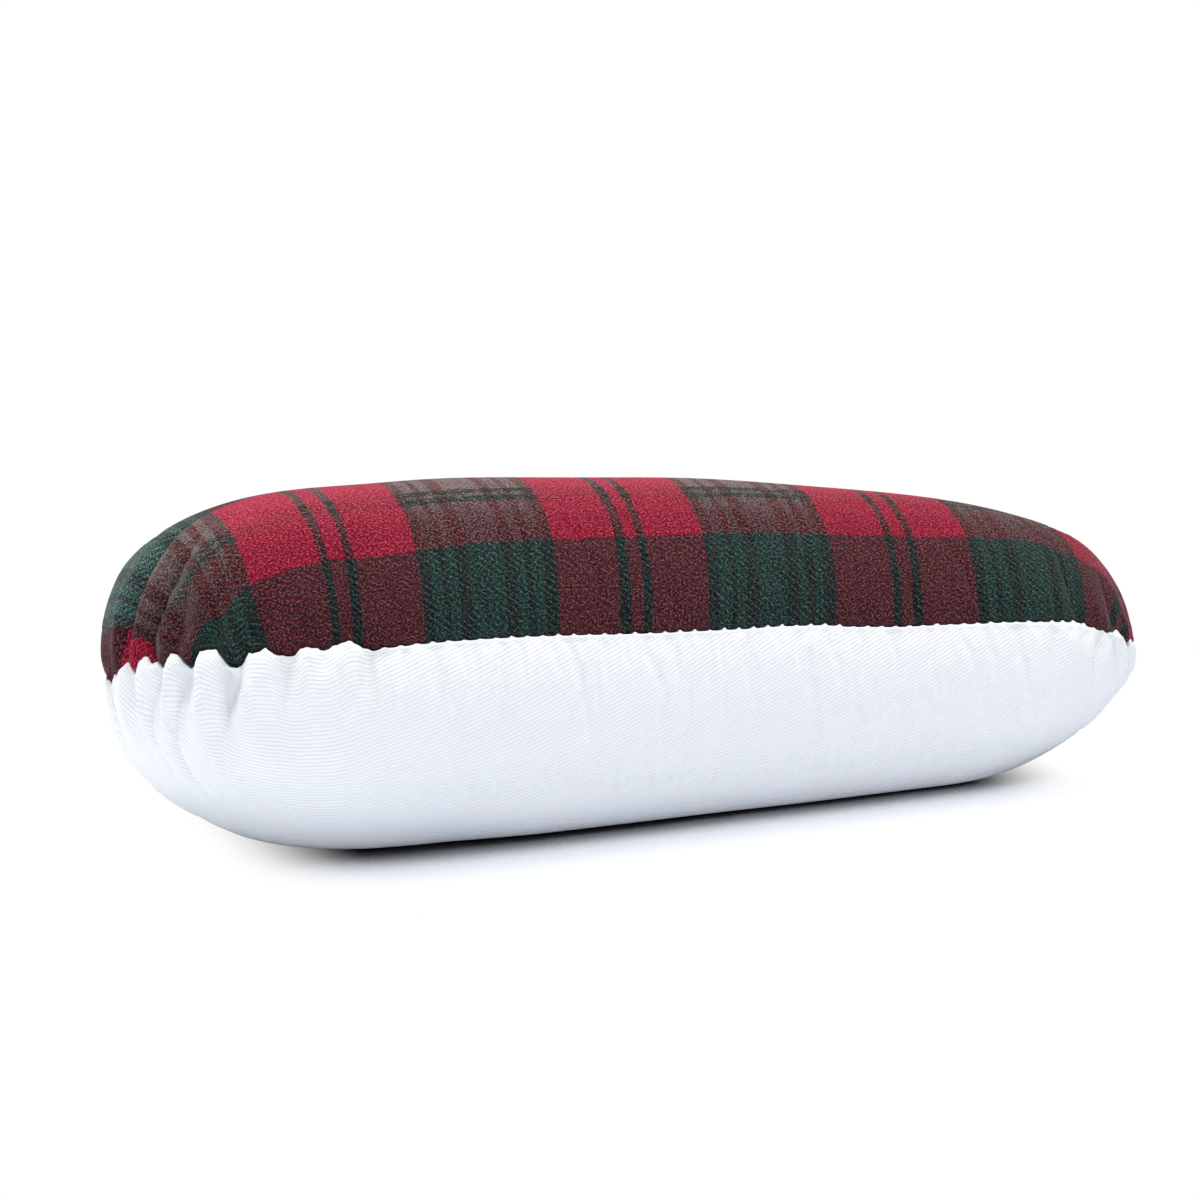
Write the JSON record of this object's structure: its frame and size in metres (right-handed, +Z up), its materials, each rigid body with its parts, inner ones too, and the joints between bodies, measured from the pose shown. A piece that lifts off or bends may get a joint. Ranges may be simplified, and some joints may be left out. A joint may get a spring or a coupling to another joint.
{
  "type": "seam roll",
  "caption": "Long stuffed pressing roll with rounded ends, a tartan wool half and a white cotton half joined by a seam all round, for pressing seams in sleeves and trouser legs.",
  "frame": {"origin": "middle of the roll's box, on the table that it lies on", "axes": "+X along the roll from its full end to its slim end, +Z up, -Y towards the side from which the tartan and the cotton both show"},
  "size_m": [0.34, 0.1102, 0.1016],
  "materials": {
    "tartan_wool": "red and green tartan wool twill with a soft nap",
    "cotton_drill": "plain white cotton drill with a fine diagonal twill",
    "sawdust": "packed dry sawdust",
    "sewing_thread": "off-white cotton sewing thread"
  },
  "bodies": {
    "root": {"wool_top_cover": "tartan_wool", "cotton_bottom_cover": "cotton_drill", "sawdust_filling": "sawdust", "seam_needle_thread": "sewing_thread", "seam_bobbin_thread": "sewing_thread", "closing_thread": "sewing_thread"}
  },
  "joints": []
}
